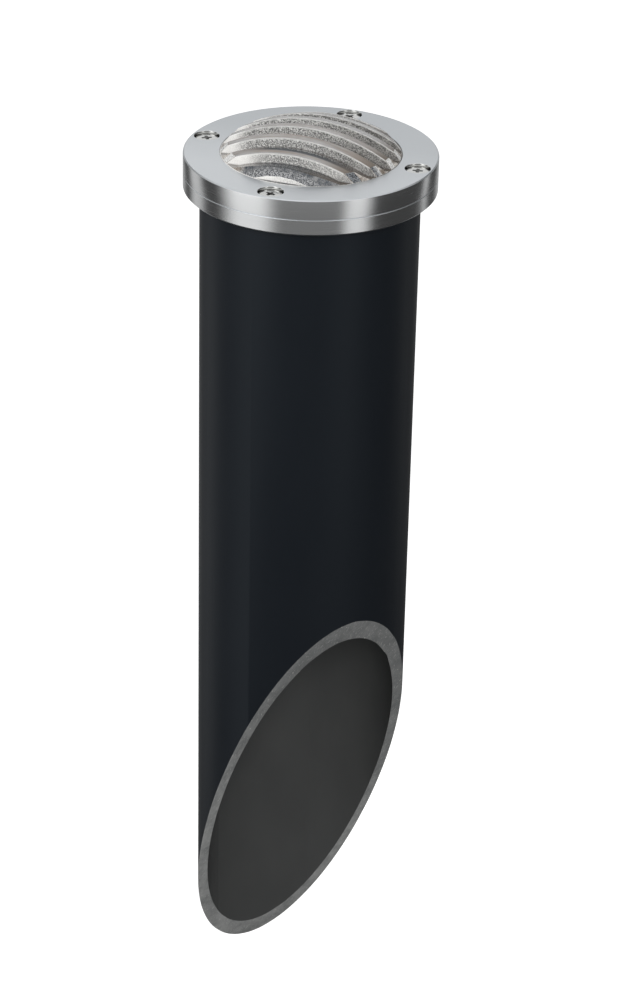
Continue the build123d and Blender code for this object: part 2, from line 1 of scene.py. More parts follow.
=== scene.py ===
"""In ground well light: finishes, fine pieces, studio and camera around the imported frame.

Metres, +Z up. The origin is on the axis at ground level and the lens steps face -Y. Sizes that
are written in millimetres are turned into metres where a mesh is made.
"""

import json
from math import atan2, cos, hypot, pi, radians, sin, sqrt, tan, tau

import bmesh
import bpy
from mathutils import Matrix, Vector, noise


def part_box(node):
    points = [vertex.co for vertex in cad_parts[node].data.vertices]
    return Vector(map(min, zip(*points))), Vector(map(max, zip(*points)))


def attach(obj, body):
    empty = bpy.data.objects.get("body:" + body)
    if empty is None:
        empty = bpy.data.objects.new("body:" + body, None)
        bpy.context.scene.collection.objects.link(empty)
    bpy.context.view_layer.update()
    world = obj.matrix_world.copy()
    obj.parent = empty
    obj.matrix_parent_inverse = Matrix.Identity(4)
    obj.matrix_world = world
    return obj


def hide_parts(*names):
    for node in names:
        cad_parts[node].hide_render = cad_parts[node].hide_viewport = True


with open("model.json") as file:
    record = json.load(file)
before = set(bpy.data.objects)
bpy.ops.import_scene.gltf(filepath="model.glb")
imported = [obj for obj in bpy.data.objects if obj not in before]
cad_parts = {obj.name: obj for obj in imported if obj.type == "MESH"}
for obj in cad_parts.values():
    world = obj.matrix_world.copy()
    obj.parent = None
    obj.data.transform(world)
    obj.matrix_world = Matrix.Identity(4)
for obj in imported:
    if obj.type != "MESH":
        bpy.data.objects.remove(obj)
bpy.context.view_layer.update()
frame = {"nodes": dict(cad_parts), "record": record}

MM = 0.001


# ---- sizes, in millimetres, read from the frame where it has them ----
def top_of(node):
    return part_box(node)[1].z / MM


def bottom_of(node):
    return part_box(node)[0].z / MM


def reach_of(node):
    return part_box(node)[1].x / MM


RING_RADIUS = reach_of("trim_ring")
RING_TOP = top_of("trim_ring")
JOINT_HEIGHT = bottom_of("trim_ring")
LENS_BOTTOM = bottom_of("lens")
LENS_RIM_RADIUS = reach_of("lens")
LENS_RIM_TOP = bottom_of("upper_gasket")
POCKET_TOP = top_of("upper_gasket")
POCKET_CLEARANCE = 0.2
POCKET_RADIUS = LENS_RIM_RADIUS + POCKET_CLEARANCE
RING_FACE_WIDTH = 12.4
OPENING_RADIUS = RING_RADIUS - RING_FACE_WIDTH
NECK_CLEARANCE = 0.3
NECK_RADIUS = OPENING_RADIUS - NECK_CLEARANCE
BARREL_CLEARANCE_RADIUS = 33.5
LIP_SEAT_RADIUS = 34.8
LIP_SEAT_DEPTH = 2.0
REGISTER_RADIUS = 37.8
REGISTER_DEPTH = 0.8

PIPE_RADIUS = reach_of("ground_sleeve")
PIPE_WALL = 3.6
PIPE_BORE = PIPE_RADIUS - PIPE_WALL
PIPE_TOP = top_of("ground_sleeve")
PIPE_TIP = bottom_of("ground_sleeve")
PIPE_LEAD_IN = 0.8
SAW_ANGLE = radians(22.4)  # between the cut and the axis
SAW_AZIMUTH = radians(-40.6)  # heading on which the cut runs highest

SCREW_COUNT = 4
SCREW_CIRCLE = (RING_RADIUS + POCKET_RADIUS) / 2
SCREW_TIP = bottom_of("cover_screws")
SCREW_HEAD_TOP = top_of("cover_screws")
SCREW_HEAD_HEIGHT = 2.4
SCREW_HEAD_RADIUS = 4.05
SCREW_SEAT = SCREW_HEAD_TOP - SCREW_HEAD_HEIGHT
COUNTERBORE_RADIUS = 4.3
CLEARANCE_HOLE_RADIUS = 2.25
TAPPED_HOLE_RADIUS = 2.05
TAPPED_HOLE_SPARE = 0.3
TAPPED_HOLE_BOTTOM = SCREW_TIP - TAPPED_HOLE_SPARE

CROWN_HEIGHT = 10.2  # of the lens over the ring
EDGE_BEVEL_WIDTH = 2.3
EDGE_BEVEL_HEIGHT = 2.82
STEP_PITCH = 8.2
LAND_WIDTH = 3.2
GROOVE_WIDTH = STEP_PITCH - LAND_WIDTH
RISER_HEIGHT = 3.0
RISER_DRAFT = 0.35  # how far a riser leans back
FRONT_RISER_LEAD = 1.15  # of the first riser over the bevel's inner edge
FRONT_RISER = EDGE_BEVEL_WIDTH - NECK_RADIUS - FRONT_RISER_LEAD
HOLLOW_WALL = 3.6
HOLLOW_HEIGHT = 7.8


# ---- finishes: shader sums written as plain expressions ----
class Field:
    """One output of a material's nodes; sums on it add Math nodes."""

    def __init__(self, finish, socket):
        self.finish = finish
        self.socket = socket

    def maths(self, operation, *values):
        sockets = dict(enumerate((self, *values)))
        return self.finish.add("Math", {"operation": operation}, sockets)

    def __add__(self, other):
        return self.maths("ADD", other)

    def __sub__(self, other):
        return self.maths("SUBTRACT", other)

    def __rsub__(self, other):
        return self.finish.add("Math", {"operation": "SUBTRACT"}, {0: other, 1: self})

    def __mul__(self, other):
        return self.maths("MULTIPLY", other)

    def __truediv__(self, other):
        return self.maths("DIVIDE", other)

    def __pow__(self, other):
        return self.maths("POWER", other)

    __radd__ = __add__
    __rmul__ = __mul__

    def least(self, other):
        return self.maths("MINIMUM", other)

    def most(self, other):
        return self.maths("MAXIMUM", other)

    def ramp(self, low, high):
        """0 below low, 1 above high, smooth between."""
        limits = {"From Min": low, "From Max": high, "Value": self}
        return self.finish.add("MapRange", {"interpolation_type": "SMOOTHSTEP"}, limits)


class Finish:
    """A material under construction; add() makes any of its nodes."""

    def __init__(self, name, data=None):
        self.data = data or bpy.data.materials.new(name)
        self.data.use_nodes = True
        self.nodes = self.data.node_tree.nodes
        self.links = self.data.node_tree.links
        self.nodes.clear()

    def add(self, kind, settings=None, sockets=None, out=0):
        node = self.nodes.new("ShaderNode" + kind)
        for name, value in (settings or {}).items():
            setattr(node, name, value)
        for name, value in (sockets or {}).items():
            if isinstance(value, Field):
                self.links.new(value.socket, node.inputs[name])
            else:
                node.inputs[name].default_value = value
        return Field(self, node.outputs[out]) if len(node.outputs) else node

    def place(self, scale=1, spin=(0, 0, 0)):
        """The point on the object, in millimetres, stretched by one scale or one for each axis."""
        point = self.add("TexCoord", out="Object")
        scales = scale if isinstance(scale, tuple) else (scale,) * 3
        size = tuple(s / MM for s in scales)
        return self.add("Mapping", sockets={"Vector": point, "Scale": size, "Rotation": spin})

    def axes(self, names, point=None):
        """A point's place along the named axes; without one, the object's, in millimetres."""
        point = point or self.place()
        return [self.add("SeparateXYZ", sockets={0: point}, out=axis) for axis in names]

    def grain(self, scale, detail=2, rough=0.5, spin=(0, 0, 0)):
        """Noise from 0 to 1 whose features are about 1 mm over scale."""
        sockets = {"Vector": self.place(scale, spin), "Scale": 1, "Detail": detail, "Roughness": rough}
        return self.add("TexNoise", sockets=sockets)

    def tool_marks(self, distance, scale, detail):
        """Noise from 0 to 1 that varies with one distance only."""
        sockets = {"W": distance, "Scale": scale, "Detail": detail}
        return self.add("TexNoise", {"noise_dimensions": "1D"}, sockets)

    def mix(self, mask, first, second):
        """From one colour to another as the mask goes from 0 to 1."""
        return self.add("Mix", {"data_type": "RGBA"}, {0: mask, 6: first, 7: second}, out=2)

    def bumped(self, height, distance):
        """A normal from a height from 0 to 1, over a distance in millimetres."""
        return self.add("Bump", sockets={"Height": height, "Distance": distance * MM, "Strength": 1.0})

    def coat(self, **sockets):
        """Ends with a Principled shader; an underscore in a socket's name stands for a space."""
        named = {name.replace("_", " "): value for name, value in sockets.items()}
        return self.done(self.add("BsdfPrincipled", sockets=named))

    def done(self, shader):
        """Ends with any shader."""
        kind = "OutputWorld" if isinstance(self.data, bpy.types.World) else "OutputMaterial"
        self.add(kind, sockets={"Surface": shader})
        return self.data


def shade(red, green, blue):
    """An opaque colour, in linear light."""
    return (red, green, blue, 1.0)


def from_axis(across, along):
    """Distance from the light's axis."""
    return (across * across + along * along) ** 0.5


def plain(name, colour, roughness, metallic=0.0, mottle=0.12, mottle_scale=0.4, grit=0.0):
    """A finish with a soft mottle in colour and gloss, and a fine grit that stands up in mm."""
    finish = Finish(name)
    cloud = finish.grain(mottle_scale, detail=4)
    fine = finish.grain(6, detail=3)
    dark, light = (shade(*(min(1, c * share) for c in colour)) for share in (1 - mottle, 1 + mottle))
    base = finish.mix((cloud + fine) * 0.5, dark, light)
    gloss = roughness + (cloud - 0.5) * 0.3 * roughness
    sockets = dict(Base_Color=base, Roughness=gloss, Metallic=metallic)
    if grit:
        sockets["Normal"] = finish.bumped(fine, grit)
    return finish.coat(**sockets)


def turned_steel():
    """Rings' sides: fine turning lines that run round, drawn out sideways in the gloss."""
    finish = Finish("turned_steel")
    lines = finish.grain((0.02, 0.02, 9.0), detail=5, rough=0.7)
    broad = finish.grain((0.06, 0.06, 1.2), detail=2)
    base = finish.mix(lines, shade(0.52, 0.525, 0.53), shade(0.66, 0.66, 0.655))
    gloss = 0.24 + (lines - 0.5) * 0.18 + (broad - 0.5) * 0.06
    return finish.coat(
        Base_Color=base,
        Roughness=gloss,
        Metallic=1.0,
        Anisotropic=0.75,
        Anisotropic_Rotation=0.25,
        Normal=finish.bumped(lines, 0.006),
    )


def satin_steel():
    """Rings' flat faces: an even satin grain over the faintest turning, with painted light that makes them
    paler towards the front.
    """
    finish = Finish("satin_steel")
    fine = finish.grain(5, detail=3, rough=0.6)
    cloud = finish.grain(0.10, detail=3)
    across, along = finish.axes("XY")
    turning = finish.tool_marks(from_axis(across, along), 5.0, 3)
    front = (along * -1).ramp(-30, 43)  # painted light: paler towards the front
    grain_and_painted_light = fine * 0.35 + cloud * 0.35 + turning * 0.3 + front * 1.3 - 0.60
    base = finish.mix(grain_and_painted_light, shade(0.53, 0.55, 0.57), shade(0.65, 0.67, 0.69))
    gloss = 0.34 + (fine - 0.5) * 0.10 + (cloud - 0.5) * 0.05 + (turning - 0.5) * 0.08
    return finish.coat(
        Base_Color=base,
        Roughness=gloss,
        Metallic=1.0,
        Anisotropic=0.4,
        Anisotropic_Rotation=0.25,
        Normal=finish.bumped(fine * 0.5 + turning * 0.5, 0.004),
    )


def bright_steel(name, roughness, dark=0.55, light=0.70):
    """Screws, their cross recesses and the holes they sit in."""
    finish = Finish(name)
    fine = finish.grain(4, detail=3)
    base = finish.mix(fine, shade(dark, dark, dark * 0.985), shade(light, light, light * 0.98))
    return finish.coat(
        Base_Color=base,
        Roughness=roughness + (fine - 0.5) * 0.05,
        Metallic=1.0,
        Normal=finish.bumped(fine, 0.006),
    )


def pipe_skin():
    """Extruded pipe: satin black with a blue cast, faint draw lines and a few scuffs."""
    finish = Finish("pipe_skin")
    draw = finish.grain((1.6, 1.6, 0.01), detail=4, rough=0.6)
    cloud = finish.grain((0.05, 0.05, 0.02), detail=3)
    scuff = finish.grain((2.2, 2.2, 0.12), detail=5, rough=0.7, spin=(0.2, 0.1, 0)).ramp(0.66, 0.82)
    body = finish.mix(cloud, shade(0.0042, 0.0056, 0.0080), shade(0.0058, 0.0074, 0.0100))
    base = finish.mix(scuff * 0.3, body, shade(0.014, 0.017, 0.020))
    gloss = 0.44 + (draw - 0.5) * 0.06 + (cloud - 0.5) * 0.08 + scuff * 0.10
    return finish.coat(
        Base_Color=base,
        Roughness=gloss,
        Normal=finish.bumped(draw, 0.008),
        Specular_IOR_Level=0.18,
        Specular_Tint=shade(0.86, 0.95, 1.0),
    )


def pipe_bore_skin():
    """Inside of the pipe: duller, with soft draw lines."""
    finish = Finish("pipe_bore_skin")
    draw = finish.grain((1.2, 1.2, 0.01), detail=3)
    cloud = finish.grain((0.05, 0.05, 0.03), detail=3)
    base = finish.mix(cloud, shade(0.029, 0.030, 0.030), shade(0.043, 0.044, 0.043))
    gloss = 0.62 + (cloud - 0.5) * 0.12
    return finish.coat(
        Base_Color=base,
        Roughness=gloss,
        Normal=finish.bumped(draw, 0.010),
        Specular_IOR_Level=0.3,
    )


def sawn_face():
    """The slanted cut: scuffed grey, with short saw marks, smudges and bright specks."""
    finish = Finish("sawn_face")
    tilt = pi / 2 - SAW_ANGLE
    marks = finish.grain((0.3, 2.6, 0.3), detail=5, rough=0.7, spin=(0.0, tilt, SAW_AZIMUTH))
    hairs = finish.grain((0.5, 5.0, 0.5), detail=2, spin=(0.3, tilt, SAW_AZIMUTH)).ramp(0.60, 0.72)
    cloud = finish.grain(0.14, detail=4, rough=0.65).ramp(0.28, 0.72)
    speck = finish.grain(1.5, detail=1).ramp(0.71, 0.76)
    body = finish.mix(cloud, shade(0.090, 0.094, 0.094), shade(0.185, 0.188, 0.185))
    wear_and_painted_light = finish.mix(marks.ramp(0.3, 0.75) * 0.55, body, shade(0.210, 0.212, 0.208))
    across, height = finish.axes("XZ")
    shaded = (height + across * 1.4).ramp(-290, -150) * 0.55  # darker towards the cut's upper end
    toned = finish.mix(shaded, wear_and_painted_light, shade(0.045, 0.047, 0.048))
    base = finish.mix((hairs * 0.35).most(speck * 0.7), toned, shade(0.44, 0.44, 0.42))
    gloss = 0.70 + (marks - 0.5) * 0.2
    return finish.coat(
        Base_Color=base,
        Roughness=gloss,
        Normal=finish.bumped(marks * 0.7 + hairs * 0.3, 0.10),
        Specular_IOR_Level=0.4,
    )


def moulded(name, colour, roughness):
    """Injection moulded plastic: fine spark-eroded grain, faint flow marks and rubbed spots."""
    finish = Finish(name)
    grain = finish.grain(7, detail=2)
    flow = finish.grain((0.25, 0.25, 0.03), detail=3)
    rubbed = finish.grain(0.35, detail=5, rough=0.7).ramp(0.60, 0.74)
    dark, light, shiny = (shade(*(c * share for c in colour)) for share in (0.82, 1.15, 1.6))
    base = finish.mix(rubbed * 0.4, finish.mix(flow, dark, light), shiny)
    gloss = roughness + (flow - 0.5) * 0.12 - rubbed * 0.08
    normal = finish.bumped(grain, 0.02)
    return finish.coat(Base_Color=base, Roughness=gloss, Normal=normal)


def turned_metal(name, dark, light, roughness):
    """Small turned and stamped parts: rings of tool marks about the light's axis."""
    finish = Finish(name)
    across, along, height = finish.axes("XYZ")
    marks = finish.tool_marks(from_axis(across, along) + height, 9.0, 4)
    cloud = finish.grain(0.3, detail=4)
    base = finish.mix(marks * 0.6 + cloud * 0.4, shade(*dark), shade(*light))
    gloss = roughness + (marks - 0.5) * 0.16 + (cloud - 0.5) * 0.08
    normal = finish.bumped(marks, 0.010)
    return finish.coat(Base_Color=base, Roughness=gloss, Metallic=1.0, Normal=normal)


def clear_glass(name, colour, roughness, ripple):
    """Thin smooth glass with a slow ripple, in millimetres."""
    finish = Finish(name)
    wave = finish.grain(0.35, detail=2)
    gloss = roughness + wave * 0.02
    return finish.coat(
        Base_Color=shade(*colour),
        Roughness=gloss,
        Transmission_Weight=1.0,
        IOR=1.5,
        Normal=finish.bumped(wave, ripple),
    )


def lens_place(finish):
    """Across and along the lens, how far out, and how far past a riser's foot, in millimetres.

    Past a foot come the riser, to RISER_DRAFT, its land, to LAND_WIDTH, and the next groove.
    """
    across, along = finish.axes("XY")
    past_riser = ((along - FRONT_RISER) / STEP_PITCH).maths("FRACT") * STEP_PITCH
    return across, along, from_axis(across, along), past_riser


def pressed_glass():
    """Lands and grooves: smooth pressed glass with a painted highlight, a white line, along each riser's
    crest.
    """
    finish = Finish("lens_clear")
    wave = finish.grain(0.3, detail=2)
    haze = finish.grain((0.05, 0.22, 0.22), detail=4, rough=0.6).ramp(0.3, 0.7)
    streak = finish.grain((0.04, 0.7, 0.2), detail=3).ramp(0.35, 0.65)
    across, along, radius, past_riser = lens_place(finish)
    front = (along * -1).ramp(-9, 13)
    # painted dark: the dark canister as seen through the front groove
    painted_canister_dark = past_riser.ramp(1.8, 2.5) * across.ramp(-18, -6) * (along * -1).ramp(12, 16)
    # painted shade: a brown tint towards the grooves, mostly at the front and on the right
    warm = past_riser.ramp(0.3, 1.6) * (0.15 + 0.6 * front) * (0.3 + streak * 0.7)
    warm = warm.most(front * across.ramp(8, 22) * 0.8)
    pale = finish.mix(haze, shade(0.48, 0.475, 0.465), shade(0.67, 0.675, 0.675))
    brown = finish.mix(warm, pale, shade(0.36, 0.29, 0.235))
    base = finish.mix(painted_canister_dark * 0.85, brown, shade(0.034, 0.052, 0.070))
    # painted shade: brown towards the rim on the right
    rim_painted_shade = finish.mix(radius.ramp(20, 30) * across.ramp(0, 12) * 0.75, base, shade(0.19, 0.155, 0.12))
    # painted highlight along each riser's crest
    crest = 1 - past_riser.ramp(0.46, 0.64)
    return finish.coat(
        Base_Color=finish.mix(crest * 0.9, rim_painted_shade, shade(0.98, 0.965, 0.94)),
        Specular_IOR_Level=0.2,
        Roughness=0.05 + haze * 0.05,
        Transmission_Weight=0.5,
        IOR=1.5,
        Normal=finish.bumped(wave, 0.03),
    )


def sparkle_grit(finish):
    """Grain of pressed glass, from 0 to 1, with grains about a third of a millimetre across."""
    coarse = finish.grain(2.2, detail=1)
    fine = finish.grain(4.4, detail=1)
    return (coarse * 0.55 + fine * 0.45).ramp(0.43, 0.57)


def frosted_glass():
    """Risers: a coarse sparkling grain that runs out into a smooth face towards the rim, painted white
    with light, with a painted highlight along each crest and painted shade at each foot.
    """
    finish = Finish("lens_frosted")
    grit = sparkle_grit(finish)
    across, along, radius, past_riser = lens_place(finish)
    shaded = (across * 0.9 + along * 0.5).ramp(-12, 38)
    top = finish.mix(shaded, shade(0.93, 0.92, 0.90), shade(0.42, 0.40, 0.375))
    low = finish.mix(shaded, shade(0.17, 0.17, 0.165), shade(0.055, 0.053, 0.050))
    grained = finish.mix(grit, low, top)
    smooth = radius.ramp(20, 27) * (across * -1).ramp(-34, 12)  # smoother towards the rim, mostly on the left, and painted white there as light
    # painted light: smooth white towards the rim
    wear_and_painted_light = finish.mix(smooth * 0.85, grained, shade(0.95, 0.935, 0.905))
    # painted highlight along each riser's crest
    crest = past_riser.ramp(0.285, 0.325) * (1 - past_riser.ramp(0.40, 0.45))
    crest_highlighted = finish.mix(crest * 0.9, wear_and_painted_light, shade(0.98, 0.97, 0.95))
    # painted shade in the crease at each riser's foot
    foot = 1 - past_riser.ramp(0.005, 0.05)
    base = finish.mix(foot * 0.55, crest_highlighted, shade(0.10, 0.095, 0.09))
    return finish.coat(
        Base_Color=base,
        Roughness=0.30 + grit * 0.25,
        Transmission_Weight=0.28,
        IOR=1.5,
        Normal=finish.bumped(grit * (1 - smooth), 0.35),
    )


def bevelled_glass():
    """Edge bevel: frosted facets where the lands run out, painted white with light, and at the front right
    a painted dark reflection; warm streaks between them.
    """
    finish = Finish("lens_bevelled")
    grit = sparkle_grit(finish)
    streak = finish.grain((0.5, 0.12, 0.5), detail=4, rough=0.6).ramp(0.35, 0.65)
    across, along, _, past_riser = lens_place(finish)
    right = across.ramp(-2, 6)
    front = (along * -1).ramp(9, 12)
    facet = past_riser.ramp(0.5, 0.7) * (1 - past_riser.ramp(3.0, 3.2))
    warm = finish.mix(streak, shade(0.22, 0.18, 0.145), shade(0.74, 0.70, 0.65))
    # painted light on the frosted facets, and at the front right a painted dark reflection
    white = finish.mix(grit, shade(0.74, 0.735, 0.72), shade(0.96, 0.955, 0.94))
    painted_steel_reflection = finish.mix(grit, shade(0.030, 0.036, 0.045), shade(0.30, 0.315, 0.33))
    facets = finish.mix(right * front, white, painted_steel_reflection)
    sides = finish.mix(facet, warm, facets)
    front_band = (along * -1).ramp(21.6, 22.4) * (1 - (across * -1).ramp(13, 17))
    grained = finish.mix(grit, shade(0.070, 0.076, 0.084), shade(0.40, 0.405, 0.41))
    polished = finish.mix(streak, shade(0.060, 0.070, 0.082), shade(0.30, 0.30, 0.30))
    band = finish.mix(past_riser.ramp(1.9, 2.3), grained, polished)
    base = finish.mix(front_band, sides, band)
    return finish.coat(
        Base_Color=base,
        Roughness=0.16 + grit * 0.25,
        Transmission_Weight=0.2,
        IOR=1.5,
        Normal=finish.bumped(grit, 0.12),
    )


FINISHES = {
    "turned_steel": turned_steel(),
    "satin_steel": satin_steel(),
    "bright_steel": bright_steel("bright_steel", 0.13),
    "bored_steel": bright_steel("bored_steel", 0.07),
    # darker steel for the screws' cross recesses: painted shade
    "painted_shade_recess_steel": bright_steel("painted_shade_recess_steel", 0.10, dark=0.18, light=0.42),
    "pipe_skin": pipe_skin(),
    "pipe_bore_skin": pipe_bore_skin(),
    "sawn_face": sawn_face(),
    "lens_clear": pressed_glass(),
    "lens_frosted": frosted_glass(),
    "lens_bevelled": bevelled_glass(),
    "lamp_glass": clear_glass("lamp_glass", (0.99, 0.99, 0.985), 0.01, ripple=0.001),
    "black_rubber": plain("black_rubber", (0.018, 0.018, 0.018), 0.62, grit=0.01),
    "canister_plastic": moulded("canister_plastic", (0.030, 0.031, 0.033), 0.48),
    "white_nylon": plain("white_nylon", (0.70, 0.70, 0.67), 0.42, grit=0.008, mottle=0.04),
    "bare_aluminium": turned_metal("bare_aluminium", (0.50, 0.50, 0.51), (0.72, 0.72, 0.72), 0.36),
    "spring_steel": turned_metal("spring_steel", (0.34, 0.33, 0.32), (0.50, 0.49, 0.46), 0.26),
    "lamp_mirror": plain("lamp_mirror", (0.82, 0.80, 0.76), 0.08, metallic=1.0, mottle=0.04),
    "coated_lamp_back": plain("coated_lamp_back", (0.46, 0.44, 0.42), 0.22, metallic=0.9, mottle=0.10),
    "lamp_wire": plain("lamp_wire", (0.30, 0.29, 0.28), 0.35, metallic=1.0, mottle=0.15, mottle_scale=3),
    "cream_ceramic": plain("cream_ceramic", (0.62, 0.58, 0.48), 0.30, mottle=0.06, grit=0.004),
    "pin_brass": plain("pin_brass", (0.62, 0.46, 0.22), 0.26, metallic=1.0, grit=0.004),
    "gland_nylon": moulded("gland_nylon", (0.040, 0.040, 0.042), 0.42),
}
# slots that take a finish of another name
SLOT_FINISH = {
    "black_pipe": "pipe_skin",
    "brushed_stainless": "turned_steel",
    "bright_stainless": "bright_steel",
    "lens_glass": "lens_clear",
}


# ---- mesh helpers ----
def polar(radius, angle, height):
    return (radius * cos(angle), radius * sin(angle), height)


def turn(count, start=0.0):
    """Angles of a full turn, anticlockwise."""
    return [start + tau * i / count for i in range(count)]


def linked(name, data):
    """A new object in the scene."""
    obj = bpy.data.objects.new(name, data)
    bpy.context.scene.collection.objects.link(obj)
    return obj


def new_mesh(name, points, faces, unit=MM):
    """A mesh from points in millimetres, or in another unit, given in metres."""
    mesh = bpy.data.meshes.new(name)
    mesh.from_pydata([Vector(p) * unit for p in points], [], faces)
    return mesh


class Solid:
    """Points and marked faces of one mesh, built up strip by strip."""

    def __init__(self):
        self.points = []
        self.faces = []
        self.marks = []

    def ring(self, points):
        first = len(self.points)
        self.points.extend(points)
        return list(range(first, len(self.points)))

    def point(self, place):
        """The index of a new point that stands alone."""
        return self.ring([place])[0]

    def face(self, corners, mark=0):
        self.faces.append(corners)
        self.marks.append(mark)

    def strip(self, upper, lower, mark=0):
        """Quads between two rings of as many points, facing out where the upper one runs anticlockwise."""
        for i in range(len(upper)):
            j = (i + 1) % len(upper)
            self.face((upper[i], lower[i], lower[j], upper[j]), mark)

    def strips(self, rings, mark=0, turned=False):
        """Strips from each ring to the next; turned makes them face the other way."""
        for upper, lower in zip(rings, rings[1:]):
            first, second = (lower, upper) if turned else (upper, lower)
            self.strip(first, second, mark)

    def fan(self, ring, hub, mark=0, turned=False):
        """Triangles from a ring to one point; turned makes them face the other way."""
        for i in range(len(ring)):
            corners = (ring[i], ring[(i + 1) % len(ring)], hub)
            self.face(corners[::-1] if turned else corners, mark)

    def rings(self, profile, angles):
        """Rings about the axis, one for each (radius, height) of a profile."""
        return [self.ring([polar(r, a, h) for a in angles]) for r, h in profile]

    def lathe(self, profile, angles, marks):
        """The rings of a profile with strips between them, each with its own mark."""
        rings = self.rings(profile, angles)
        for upper, lower, mark in zip(rings, rings[1:], marks):
            self.strip(upper, lower, mark)
        return rings

    def filled(self, loops, mark=0, up=True):
        """A flat face between an outer loop and the loops inside it."""
        mesh = bmesh.new()
        corners = {}
        edges = []
        for loop in loops:
            for i in loop:
                corners[i] = mesh.verts.new(self.points[i])
            for i, j in zip(loop, loop[1:] + loop[:1]):
                edges.append(mesh.edges.new((corners[i], corners[j])))
        index = {v: i for i, v in corners.items()}
        made = bmesh.ops.triangle_fill(mesh, use_beauty=True, edges=edges)
        for item in made["geom"]:
            if isinstance(item, bmesh.types.BMFace):
                item.normal_update()
                order = [index[v] for v in item.verts]
                self.face(order if (item.normal.z > 0) == up else order[::-1], mark)
        mesh.free()

    def piece(self, name, body, finishes, sharp=30.0, stands_for=()):
        """The visible piece; the marks give each face's place in finishes, and edges that bend by
        more than sharp degrees stay sharp."""
        mesh = new_mesh(name, self.points, self.faces)
        for finish in finishes:
            mesh.materials.append(FINISHES[finish])
        mesh.polygons.foreach_set("material_index", self.marks)
        mesh.shade_smooth()
        mesh.set_sharp_from_angle(angle=radians(sharp))
        mesh.validate()
        obj = linked(name, mesh)
        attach(obj, body)
        if stands_for:
            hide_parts(*stands_for)


def screw_places():
    return [polar(SCREW_CIRCLE, a, 0) for a in turn(SCREW_COUNT)]


# ---- ground sleeve, with the saw's slanted cut ----
def make_pipe():
    sides = 288
    edge_break = 0.14
    rise = 1 / tan(SAW_ANGLE)
    cut_centre = PIPE_TIP + PIPE_RADIUS * rise
    ragged_height, ragged_waves = 0.22, 6
    kink_angle, kink_width, kink_height = radians(-4), radians(5), 0.9
    outer_kink = 0.4  # share of the kink that reaches the outer edge
    skin, bore, sawn = 0, 1, 2

    def cut(radius, angle):
        ragged = ragged_height * noise.noise(Vector(polar(ragged_waves, angle, radius)))
        kink = kink_height * max(0.0, 1 - abs(angle - kink_angle) / kink_width)
        if radius > PIPE_RADIUS - PIPE_WALL / 2:
            kink *= outer_kink
        lift = max(0.0, ragged) + kink
        return cut_centre + radius * cos(angle - SAW_AZIMUTH) * rise + lift

    # each ring's radius, its height by angle, and the mark of the strip to the next
    outer_edge, inner_edge = PIPE_RADIUS - edge_break, PIPE_BORE + edge_break
    rows = [
        (PIPE_RADIUS, lambda a: PIPE_TOP, skin),
        (PIPE_RADIUS, lambda a: cut(PIPE_RADIUS, a) + edge_break * rise, sawn),
        (outer_edge, lambda a: cut(outer_edge, a), sawn),
        (inner_edge, lambda a: cut(inner_edge, a), sawn),
        (PIPE_BORE, lambda a: cut(PIPE_BORE, a) + edge_break, bore),
        (PIPE_BORE, lambda a: PIPE_TOP - PIPE_LEAD_IN, bore),
        (PIPE_BORE + PIPE_LEAD_IN, lambda a: PIPE_TOP, skin),
    ]
    pipe = Solid()
    rings = [pipe.ring([polar(r, a, height(a)) for a in turn(sides, -pi)]) for r, height, _ in rows]
    for upper, lower, (_, _, mark) in zip(rings, rings[1:] + rings[:1], rows):
        pipe.strip(upper, lower, mark)
    finishes = ("pipe_skin", "pipe_bore_skin", "sawn_face")
    pipe.piece("sawn_pipe", "sleeve", finishes, stands_for=("ground_sleeve",))


# ---- steel rings ----
RING_STEELS = ("turned_steel", "satin_steel", "bored_steel")
TURNED, SATIN, BORED = 0, 1, 2
RING_SIDES = 240
HOLE_SIDES = 48
JOINT_BREAK = 0.2  # broken edges where the rings meet


def hole_ring(solid, place, radius, height):
    """A ring round the axis of a screw."""
    x, y, _ = place
    return solid.ring([(x + radius * cos(a), y + radius * sin(a), height) for a in turn(HOLE_SIDES)])


def make_trim_ring():
    rim_break = 0.5
    opening_break = 0.12
    hole_break = 0.12
    foot = JOINT_HEIGHT + 0.02  # just clear of the canister's lip
    trim = Solid()
    profile = [
        (OPENING_RADIUS + opening_break, RING_TOP),
        (OPENING_RADIUS, RING_TOP - opening_break),
        (OPENING_RADIUS, POCKET_TOP),
        (POCKET_RADIUS, POCKET_TOP),
        (POCKET_RADIUS, foot),
    ]
    inside = trim.rings(profile, turn(RING_SIDES))
    trim.strips(inside, SATIN, turned=True)
    profile = [
        (RING_RADIUS - rim_break, RING_TOP),
        (RING_RADIUS - 0.12 * rim_break, RING_TOP - 0.55 * rim_break),
        (RING_RADIUS, RING_TOP - rim_break),
        (RING_RADIUS, foot + JOINT_BREAK),
        (RING_RADIUS - JOINT_BREAK, foot),
    ]
    outside = trim.lathe(profile, turn(RING_SIDES), (SATIN, TURNED, TURNED, SATIN))
    tops, bottoms = [outside[0], inside[0]], [outside[-1], inside[-1]]
    hole = [
        (COUNTERBORE_RADIUS + hole_break, RING_TOP),
        (COUNTERBORE_RADIUS, RING_TOP - hole_break),
        (COUNTERBORE_RADIUS, SCREW_SEAT),
        (CLEARANCE_HOLE_RADIUS, SCREW_SEAT),
        (CLEARANCE_HOLE_RADIUS, foot),
    ]
    for place in screw_places():
        rings = [hole_ring(trim, place, r, h) for r, h in hole]
        trim.strips(rings, BORED, turned=True)
        tops.append(rings[0])
        bottoms.append(rings[-1])
    trim.filled(tops, SATIN, up=True)
    trim.filled(bottoms, SATIN, up=False)
    trim.piece("turned_trim_ring", "cover", RING_STEELS, stands_for=("trim_ring",))


